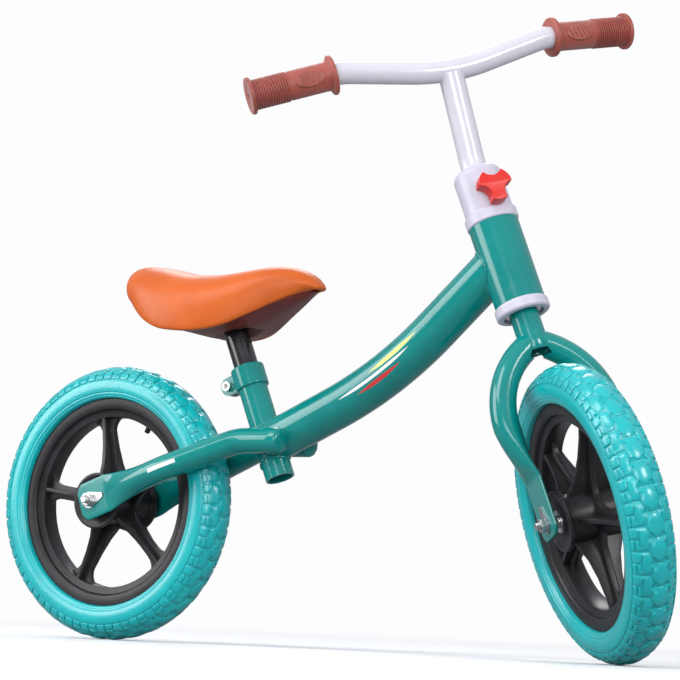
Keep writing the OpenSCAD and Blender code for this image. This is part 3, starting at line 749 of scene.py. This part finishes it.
# %% The two fork legs
leg_y, leg_shift, steerer_r = 54.0, 8.5, 14.25
upright = Vector((0, 0, 1))
plate_centre = Vector((0, leg_y, axle_s / MM)) * MM
foot = plate_centre - upright * past_axle * MM
leg, leg_top, leg_ahead = bent_tube("fork_leg_left_tube", foot / MM, upright, tube_r, [
    ("run", 7.5, 5), ("run", 105.1, 30), ("bend", 86, 60, Vector((0, -1, 0))), ("run", 11, 1)], sides=64)
close_end(leg, lambda at: (at - leg_top).dot(leg_ahead) > -0.1 * MM, leg_ahead * 0.3 * MM)
close_end(leg, lambda at: (at - foot).z < 0.1 * MM, -upright * 0.3 * MM)
press_end(leg, plate_centre, upright, Vector((1, 0, 0)), left, 45.1, 99.1, shift=-leg_shift)
tidy(leg)
leg_right = twin(leg, "fork_leg_right_tube")
place(leg_right, Matrix.Scale(-1, 4, left))
let_go()
bpy.ops.mesh.primitive_cylinder_add(vertices=96, radius=steerer_r * MM, depth=60 * MM,
                                    location=(0, 0, 345 * MM))
steerer_space = named("steerer_space")
for piece in (leg, leg_right):
    modify(piece, "BOOLEAN", operation="DIFFERENCE", object=steerer_space, solver="EXACT")
bpy.data.objects.remove(steerer_space)
crown_end = lathe("steerer_foot", [(12.6, 331), (12.6, 321.6), (13.0, 321), (13.9, 321), (14.35, 321.6),
                                   (14.35, 331), (12.6, 331)])
place(crown_end, in_fork)
belongs(crown_end, "fork", "frame_paint")
for piece, side, y in ((leg, "left", leg_y - leg_shift), (leg_right, "right", leg_shift - leg_y)):
    tab_hole(piece, Vector((0, y * MM, axle_s + tab_up * MM)), left)
    soften(piece, 0.5 * MM, 2, 50)
    place(piece, in_fork)
    belongs(piece, "fork", "frame_paint", replaces=("fork_leg_" + side,))

# %% [markdown]
# ## Saddle
# The saddle is a moulded cushion of foam under a smooth skin, on a dark plastic pan. Its
# back kicks up, its waist dips, and its nose runs out narrow. It is lofted here through
# eighteen cross sections. Each goes from the middle of the top over the side to the lower
# edge, and the edge is then turned under, as the skin is on the real pan. The pan fills
# the underside. It is shaped like the bottom of a boat, with a keel that drops below the
# cushion's edge in front of the post and rises behind it.

# %% The cushion
top_line = [(25, 353.5), (19.5, 360), (17, 370), (18, 381), (23, 389.5), (33, 394.6), (47.5, 395.2),
            (72.6, 391.3), (95.9, 385.5), (113, 383), (143, 382.7), (168, 385.8), (193, 389.4),
            (211, 390), (229, 386.6), (243, 379.5), (251, 371.5), (254.5, 366)]
low_line = [(34, 27, 351.5), (38, 33.5, 351), (42, 39.5, 350), (47, 45, 345.5), (53, 49.5, 341),
            (60, 53, 336), (69, 56, 331), (84, 59, 324.5), (100, 60, 322.5), (123, 58.8, 320.6),
            (147, 54.5, 323), (163, 49, 327), (180, 41.5, 335), (195, 34.5, 342.5), (216, 25.5, 353),
            (229, 19, 359), (238, 13.5, 362.5), (243, 9, 364)]
around = 8
let_go()
bpy.ops.mesh.primitive_grid_add(x_subdivisions=2 * around, y_subdivisions=len(top_line) - 1, size=0.1)
cushion = named("saddle_cushion")
for index, vert in enumerate(cushion.data.vertices):
    row, column = divmod(index, 2 * around + 1)
    (top_x, top_z), (low_x, low_y, low_z) = top_line[row], low_line[row]
    share = (column - around) / around
    turn = abs(share) * math.pi / 2
    fullness = min(1.0, row / 6)
    sideways = math.sin(turn) ** (1.0 - 0.22 * fullness)
    down = 1 - math.cos(turn) ** (1.0 - 0.28 * fullness)
    bulge = 2.2 * fullness * math.sin(2 * turn)
    aside = math.copysign(low_y * sideways + bulge, share) if share else 0.0
    vert.co = Vector((top_x + (low_x - top_x) * down, aside, top_z + (low_z - top_z) * down)) * MM
edit(cushion)
middle = Vector((125, 0, 0)) * MM
bpy.ops.mesh.select_all(action="SELECT")
bpy.ops.mesh.region_to_loop()
bpy.ops.mesh.extrude_region_move(TRANSFORM_OT_translate={"value": (0, 0, -2.0 * MM)})
bpy.ops.transform.resize(value=(0.975, 0.95, 1), center_override=middle)
bpy.ops.mesh.extrude_region_move(TRANSFORM_OT_translate={"value": (0, 0, 1.0 * MM)})
bpy.ops.transform.resize(value=(0.95, 0.86, 1), center_override=middle)
bpy.ops.mesh.extrude_region_move(TRANSFORM_OT_translate={"value": (0, 0, 14.0 * MM)})
bpy.ops.transform.resize(value=(0.97, 0.92, 1), center_override=middle)
bpy.ops.mesh.edge_face_add()
let_go()
# The face that closes the underside tilts, as the pan below it does
tilt = 1 / 20
for vert in cushion.data.vertices:
    if vert.select:
        vert.co.z += (middle.x - vert.co.x) * tilt
tidy(cushion)
modify(cushion, "SUBSURF", levels=3, render_levels=3)
smooth(cushion, 60)
belongs(cushion, "seat", "saddle_skin", replaces=("saddle_cover",))

# %% The pan under it
keel = [(243, 364.5), (236, 360), (226, 354), (212, 348), (196, 340), (180, 332), (163, 324.8),
        (147, 320), (130, 318.3), (115, 320), (100, 328), (84, 339), (69, 345), (56, 350), (46, 353)]
pan_edge = [(240, 8, 364.8), (233, 13, 361.8), (224, 18, 357.5), (212, 24, 352), (195, 31.5, 344),
            (180, 38.5, 336.8), (163, 46, 329), (147, 51.5, 325.2), (130, 54.8, 323.2), (115, 56, 323),
            (100, 56.6, 324.6), (84, 55.6, 328.6), (69, 52.4, 336.5), (56, 46, 344.5), (46, 36, 350)]
let_go()
bpy.ops.mesh.primitive_grid_add(x_subdivisions=12, y_subdivisions=len(keel) - 1, size=0.1)
pan = named("saddle_pan_shell")
for index, vert in enumerate(pan.data.vertices):
    row, column = divmod(index, 13)
    (keel_x, keel_z), (edge_x, edge_y, edge_z) = keel[row], pan_edge[row]
    share = (column - 6) / 6
    rise_to_edge = abs(share) ** 1.5
    vert.co = Vector((keel_x + (edge_x - keel_x) * rise_to_edge, edge_y * share,
                      keel_z + (edge_z - keel_z) * rise_to_edge)) * MM
modify(pan, "SUBSURF", levels=2, render_levels=2)
# A pocket round the post takes the clamp and its ears when the saddle is at its lowest
seat_foot = Vector((211.2, 0, 171.9))
seat_fore = Vector((seat_up.z, 0, -seat_up.x))
pocket_level = 171.5
for vert in pan.data.vertices:
    at = vert.co / MM - seat_foot
    fore, aside, level = at.dot(seat_fore), abs(at.y), at.dot(seat_up)
    from_round = math.hypot(fore, aside) - 20.0
    from_ears = max(-27.0 - fore, aside - 12.5) if fore < 0 else from_round
    clear = min(1.0, max(0.0, 1.0 - min(from_round, from_ears) / 5.0))
    lift = max(0.0, pocket_level - level) * clear
    vert.co += seat_up * lift * MM
tidy(pan)
modify(pan, "SOLIDIFY", thickness=2.2 * MM, offset=-1.0)
soften(pan, 0.5 * MM, 2, 50)
belongs(pan, "seat", "pan_plastic", replaces=("saddle_pan",))

# %% [markdown]
# ## Grips
# A grip is a rubber sleeve with a tall flange at its inner end and a small one outside. The
# outer half has fine ribs to hold on to, and the inner half a smooth raised panel with
# slanting bars. One is turned on the lathe and dressed, and its mirror image goes on the
# other end of the bar.

# %% One grip, then its twin
length = 88.0
profile = [(0, 84), (11.15, 84), (11.15, 0), (19.0, 0.2), (19.8, 0.9), (20.0, 2.2), (19.8, 3.6),
           (19.0, 4.4), (17.2, 4.7), (15.6, 5.4), (14.9, 7.2), (14.6, 10), (14.6, 46)]
for rib_number in range(14):
    foot_of_rib = 48.0 + 2.55 * rib_number
    profile += [(13.8, foot_of_rib), (13.8, foot_of_rib + 0.6), (15.2, foot_of_rib + 1.0),
                (15.2, foot_of_rib + 2.1)]
profile += [(14.4, 83.2), (15.0, 84), (18.2, 84.4), (18.6, 85.0), (18.6, 87.2), (18.0, length), (3.0, length),
            (2.4, length - 0.5), (2.0, length - 3), (0, length - 3)]
sleeve = lathe("grip", profile, 72)
parts_of_grip = [sleeve]
for half_turn in (15, 195):
    let_go()
    bpy.ops.mesh.primitive_cylinder_add(vertices=48, radius=8 * MM, depth=3 * MM)
    panel = named("panel")
    for vert in panel.data.vertices:
        vert.co.y *= 1.9
    soften(panel, 0.8 * MM, 3)
    pieces = [panel]
    for bar_number in range(5):
        let_go()
        bpy.ops.mesh.primitive_cube_add(size=1.0)
        slant = named("slanting_bar")
        for vert in slant.data.vertices:
            vert.co = Vector((vert.co.x * 12.0, vert.co.y * 2.0, 1.6 + vert.co.z * 1.6)) * MM
        soften(slant, 0.5 * MM, 2)
        place(slant, Matrix.Translation((0, (bar_number - 2) * 4.8 * MM, 0))
              @ Matrix.Rotation(math.radians(24), 4, "Z"))
        pieces.append(slant)
    panel = join("panel", *pieces)
    quarter = math.radians(90)
    place(panel, Matrix.Rotation(math.radians(half_turn), 4, "Z")
          @ Matrix.Translation(Vector((13.9, 0, 27)) * MM)
          @ Matrix.Rotation(quarter, 4, "Y") @ Matrix.Rotation(quarter, 4, "Z"))
    parts_of_grip.append(panel)
grip = join("grip_sleeve", *parts_of_grip)
grip_from, grip_to = Vector((19.0, 116.2, 638.1)) * MM, Vector((7.6, 203.5, 636.0)) * MM
outward = (grip_to - grip_from).normalized()
fore = Vector((1, 0, 0)) - outward * outward.x
fore.normalize()
left_place = stand(grip_from, fore, outward.cross(fore), outward)
flip = Matrix.Scale(-1, 4, Vector((0, 1, 0)))
for side, where in (("left", in_fork @ left_place), ("right", in_fork @ flip @ left_place)):
    copy = twin(grip, "grip_rubber_" + side)
    place(copy, where)
    belongs(copy, "handlebar", "grip_rubber", replaces=("grip_" + side,))
bpy.data.objects.remove(grip)

# %% [markdown]
# ## Knob
# The red knob keeps its measured outline. A copy of it has its loose triangles merged, its
# flat faces made whole and its edges rounded, as a moulding's are.

# %% The rounded knob
def rounded(node_name, name, width, segments):
    """A copy of a measured node, merged, with flat faces made whole and edges rounded."""
    copy = twin(frame["nodes"][node_name], name)
    tidy(copy, gap=1e-5)
    edit(copy)
    bpy.ops.mesh.select_all(action="SELECT")
    bpy.ops.mesh.dissolve_limited(angle_limit=math.radians(1.5))
    let_go()
    return soften(copy, width * MM, segments, 40)


knob = rounded("clamp_knob", "clamp_knob_rounded", 1.3, 4)
belongs(knob, "clamp_knob", "knob_plastic", replaces=("clamp_knob",))

# %% [markdown]
# ## Axle nuts and threads
# The plated nuts catch the light on their chamfers, so copies of them have their edges
# rounded. The free axle ends are ridged like a thread.

# %% Rounded nuts and ridged axle ends
for side, body in (("rear", "frame"), ("front", "fork")):
    nuts = rounded(side + "_axle_nuts", side + "_nuts_rounded", 0.7, 3)
    belongs(nuts, body, "zinc_steel", replaces=(side + "_axle_nuts",))
    tip = 56.0 if side == "rear" else 58.5
    ridges = [(0, tip - 4.6), (3.4, tip - 4.6)]
    for ridge_number in range(4):
        low = tip - 4.5 + ridge_number
        ridges += [(3.62, low), (3.95, low + 0.3), (3.95, low + 0.5), (3.62, low + 0.8)]
    ridges += [(3.4, tip - 0.4), (3.0, tip + 0.05), (0, tip + 0.05)]
    right_end = lathe("thread_end", ridges, 32)
    left_end = twin(right_end, "thread_end_left")
    place(left_end, Matrix.Rotation(math.radians(180), 4, "X"))
    ends = join(side + "_thread_ends", right_end, left_end)
    place(ends, at_rear if side == "rear" else at_front)
    belongs(ends, body, "zinc_steel")

# %% [markdown]
# ## Welds
# The tubes are joined by a hand-laid bead round each joint. A bead is a thin torus whose
# rings are moved onto the line where one tube runs into the other, with small ripples
# along it, as a welder leaves them.

# %% Beads where one tube runs into another
def bead(name, foot, along, branch_r, main_at, main_along, main_r, thick=1.7, backwards=False):
    """A bead round a tube of radius branch_r where it meets a tube of radius main_r (all mm)."""
    along, main_along = along.normalized(), main_along.normalized()
    first = along.orthogonal().normalized()
    second = along.cross(first)
    let_go()
    bpy.ops.mesh.primitive_torus_add(major_segments=144, minor_segments=10, major_radius=1.0,
                                     minor_radius=0.1)
    ring = named(name)
    for vert in ring.data.vertices:
        turn = math.atan2(vert.co.y, vert.co.x)
        radial = first * math.cos(turn) + second * math.sin(turn)
        small_out, small_up = math.hypot(vert.co.x, vert.co.y) - 1.0, vert.co.z
        start = foot + radial * branch_r * MM - main_at
        across, slide = start - main_along * start.dot(main_along), along - main_along * along.dot(main_along)
        a, b, c = slide.dot(slide), across.dot(slide), across.dot(across) - (main_r * MM) ** 2
        root = math.sqrt(max(b * b - a * c, 0.0))
        travel = (-b - root) / a if backwards else (-b + root) / a
        size = thick * (1.0 + 0.1 * math.sin(36 * turn)) * 10
        vert.co = (foot + along * travel + radial * (branch_r + small_out * size) * MM
                   + along * small_up * size * MM)
    return smooth(tidy(ring), 60)


head_up = Vector((fork_up.x, 0, fork_up.z)).normalized()
head_at = axis_foot + head_up * 415 * MM
main_end = Vector((458.0, 0, 382.6)) * MM
main_ahead = Vector((119.5, 0, 110.3))
main_foot = Vector((198.0, 0, 208.0)) * MM
main_start_way = Vector((140.5, 0, 64.3))
seat_at = Vector((211.2, 0, 171.9)) * MM
head_bead = bead("head_bead", main_end - main_ahead.normalized() * 60 * MM, main_ahead, 22.0, head_at,
                 head_up, 25.0, backwards=True)
top_bead = bead("seat_top_bead", seat_at, seat_up, 15.0, main_foot, main_start_way, 22.0)
low_bead = bead("seat_low_bead", seat_at, seat_up, 15.0, main_foot, main_start_way, 22.0, backwards=True)
welds = join("frame_welds", head_bead, top_bead, low_bead)
belongs(welds, "frame", "frame_paint")

# %% [markdown]
# ## Trim in plain colours
# The frame carries painted trim. Here it is plain generic stripes: three arcs that follow
# the curve of the main tube, and a short bar on the right stay and fork leg. Each stripe is
# a shape worked out from Object coordinates in the material, so it needs no picture.

# %% Stripe shapes as node groups
bend_radius = 0.45
arc_stripe, given, out = group(
    "Arc stripe",
    {"Vector": None, "Offset": 0.0, "Half width": 0.002, "From angle": -1.1, "To angle": -0.9}, ("Mask",))
xyz = add(arc_stripe, "ShaderNodeSeparateXYZ", {0: given["Vector"]})
squares = [math_node(arc_stripe, "POWER", xyz.outputs[way], 2.0) for way in "XZ"]
from_centre = math_node(arc_stripe, "SQRT", plus(arc_stripe, *squares))
off_line = less(arc_stripe, less(arc_stripe, from_centre, bend_radius), given["Offset"])
off_line = math_node(arc_stripe, "ABSOLUTE", off_line)
angle = math_node(arc_stripe, "ARCTAN2", xyz.outputs["Z"], xyz.outputs["X"])
from_end = math_node(arc_stripe, "MINIMUM", less(arc_stripe, angle, given["From angle"]),
                     less(arc_stripe, given["To angle"], angle))
taper = between(arc_stripe, from_end, 0.0, 0.05, -0.0004, 0.0)
width = times(arc_stripe, given["Half width"], between(arc_stripe, from_end, 0.0, 0.08))
inside = less(arc_stripe, plus(arc_stripe, width, taper), off_line)
arc_stripe.links.new(between(arc_stripe, inside, -0.0001, 0.0002), out["Mask"])

bar_stripe, given, out = group(
    "Bar stripe",
    {"Vector": None, "Half length": 0.02, "Half width": 0.002}, ("Mask",))
xyz = add(bar_stripe, "ShaderNodeSeparateXYZ", {0: given["Vector"]})
past_end = less(bar_stripe, given["Half length"],
                     math_node(bar_stripe, "ABSOLUTE", xyz.outputs["X"]))
past_side = less(bar_stripe, given["Half width"],
                      math_node(bar_stripe, "ABSOLUTE", xyz.outputs["Y"]))
outer_half = between(bar_stripe, xyz.outputs["Z"], -0.001, 0.0)
both = math_node(bar_stripe, "MINIMUM", past_end, past_side)
bar_stripe.links.new(times(bar_stripe, between(bar_stripe, both, -0.0001, 0.0002), outer_half),
                     out["Mask"])
print("stripe groups ready")


# %% Striped copies of the enamel
def striped(name, stripes):
    """The frame enamel with (mask group, mapping values, mask values, colour) stripes on it."""
    material = teal.copy()
    material.name = name
    tree = material.node_tree
    principled = tree.nodes["Principled BSDF"]
    where = next(node for node in tree.nodes if node.type == "TEX_COORD").outputs["Object"]
    colour = principled.inputs["Base Color"].links[0].from_socket
    for mask_group, location, rotation, values, paint in stripes:
        to_place = add(tree, "ShaderNodeMapping", {"Vector": where}, vector_type="TEXTURE")
        to_place.inputs["Location"].default_value = location
        to_place.inputs["Rotation"].default_value = rotation
        mask = add(tree, "ShaderNodeGroup", node_tree=mask_group)
        tree.links.new(to_place.outputs["Vector"], mask.inputs["Vector"])
        for key, value in values.items():
            mask.inputs[key].default_value = value
        colour = blend_colour(tree, mask.outputs["Mask"], colour, (*paint, 1))
    tree.links.new(colour, principled.inputs["Base Color"])
    return material


bend_centre = (0.0860, 0.0, 0.6516)
arcs = [(0.008, 0.0020, -1.07, -0.90, (0.62, 0.03, 0.03)), (0.002, 0.0016, -1.12, -0.86, (0.85, 0.82,
        0.8)), (-0.004, 0.0022, -1.02, -0.83, (0.85, 0.72, 0.06))]
main_paint = striped("main_tube_trim", [
    (arc_stripe, bend_centre, (0, 0, 0),
     {"Offset": offset, "Half width": half, "From angle": start, "To angle": end}, paint)
    for offset, half, start, end, paint in arcs])
stay_middle = rear_axle + rise * 105 * MM
stay_paint = striped("stay_trim", [
    (bar_stripe, (stay_middle.x, -stay_y * MM, stay_middle.z), (math.radians(90), -slope, 0),
     {"Half length": 0.017, "Half width": 0.0022}, (0.85, 0.85, 0.85))])
leg_middle = in_fork @ Vector((0, -leg_y * MM, 245 * MM))
leg_turn = Matrix((fork_up, fork_ahead, -wheel_left)).transposed().to_euler()
leg_paint = striped("leg_trim", [
    (bar_stripe, leg_middle, leg_turn, {"Half length": 0.02, "Half width": 0.0016}, (0.85, 0.85, 0.85))])
for place_in_list in frame["nodes"]["main_tube"].material_slots:
    place_in_list.material = main_paint
wear(stay_right, stay_paint)
wear(leg_right, leg_paint)
print("striped: main_tube,", stay_right.name, "and", leg_right.name)

# %% [markdown]
# ## Camera and studio
# The camera stands low, ahead of the bike and to its right, with a long lens. The floor is
# large and pale, and far away it fades into the pale world, so that no horizon shows. Large
# soft lamps above, beside and behind give the tubes their long highlights, and one near
# the camera fills in the front.

# %% Camera
eye = Vector((1.7610, -2.2175, 0.0335))
look_at = Vector((0.2770, 0.0, 0.3126))
let_go()
bpy.ops.object.camera_add(location=eye)
camera = bpy.context.object
camera.name = "camera"
camera.rotation_mode = "QUATERNION"
camera.rotation_quaternion = ((look_at - eye).to_track_quat("-Z", "Y")
                              @ Matrix.Rotation(math.radians(2.45), 3, "Z").to_quaternion())
camera.data.lens = 140.4
camera.data.sensor_width = 36.0
camera.data.clip_end = 200.0
bpy.context.scene.camera = camera
print("camera", round((look_at - eye).length, 3), "m from the bike")

# %% Floor, world and lamps
let_go()
bpy.ops.mesh.primitive_plane_add(size=80.0, location=(0, 0, 0))
floor = named("floor")
pale = bpy.data.materials.new("studio_floor")
pale.use_nodes = True
tree = pale.node_tree
shader = tree.nodes["Principled BSDF"]
shader.inputs["Base Color"].default_value = (0.86, 0.86, 0.87, 1)
shader.inputs["Roughness"].default_value = 0.7
place_on_floor = add(tree, "ShaderNodeTexCoord").outputs["Object"]
distance = add(tree, "ShaderNodeVectorMath", {0: place_on_floor}, operation="LENGTH").outputs["Value"]
glow = add(tree, "ShaderNodeEmission", {"Color": (0.98, 0.98, 0.99, 1), "Strength": 1.0})
fade = add(tree, "ShaderNodeMixShader", {0: between(tree, distance, 1.0, 3.0), 1: shader.outputs[0],
                                         2: glow.outputs[0]})
dim = add(tree, "ShaderNodeBsdfDiffuse", {"Color": (0.3, 0.3, 0.31, 1)})
seen = add(tree, "ShaderNodeLightPath").outputs["Is Camera Ray"]
floor_shader = add(tree, "ShaderNodeMixShader", {0: seen, 1: dim.outputs[0], 2: fade.outputs[0]})
tree.links.new(floor_shader.outputs[0], tree.nodes["Material Output"].inputs["Surface"])
wear(floor, pale)

world = bpy.data.worlds.new("pale studio")
bpy.context.scene.world = world
world.use_nodes = True
sky = world.node_tree
sky.nodes["Background"].inputs["Color"].default_value = (0.98, 0.98, 0.99, 1)
direction = add(sky, "ShaderNodeTexCoord").outputs["Generated"]
height = add(sky, "ShaderNodeSeparateXYZ", {0: direction}).outputs["Z"]
soft = add(sky, "ShaderNodeBackground", {"Color": (0.9, 0.93, 1.0, 1),
                                         "Strength": between(sky, height, -0.3, 0.9, 0.16, 0.75)})
seen = add(sky, "ShaderNodeLightPath").outputs["Is Camera Ray"]
both = add(sky, "ShaderNodeMixShader", {0: seen, 1: soft.outputs[0], 2: sky.nodes["Background"].outputs[0]})
sky.links.new(both.outputs[0], sky.nodes["World Output"].inputs["Surface"])


def lamp(name, at, aim, size, power):
    """A square soft lamp that looks at a point."""
    let_go()
    bpy.ops.object.light_add(type="AREA", location=at)
    light = bpy.context.object
    light.name = name
    light.data.shape = "SQUARE"
    light.data.size = size
    light.data.energy = power
    light.rotation_euler = (Vector(aim) - Vector(at)).to_track_quat("-Z", "Y").to_euler()
    return light


lamp("key", (-0.6, -2.2, 2.4), (0.25, 0, 0.3), 1.4, 34)
lamp("side", (-1.7, -1.6, 1.0), (0.3, 0, 0.35), 1.5, 36)
lamp("front", (3.0, -0.9, 1.5), (0.4, 0, 0.3), 0.9, 34)
lamp("fill", (1.6, -3.2, 0.9), (0.3, 0, 0.3), 1.6, 44)
lamp("back", (-1.2, 2.2, 2.4), (0.2, 0, 0.3), 1.2, 22)
bpy.context.scene.view_settings.view_transform = "Standard"
print("studio ready")
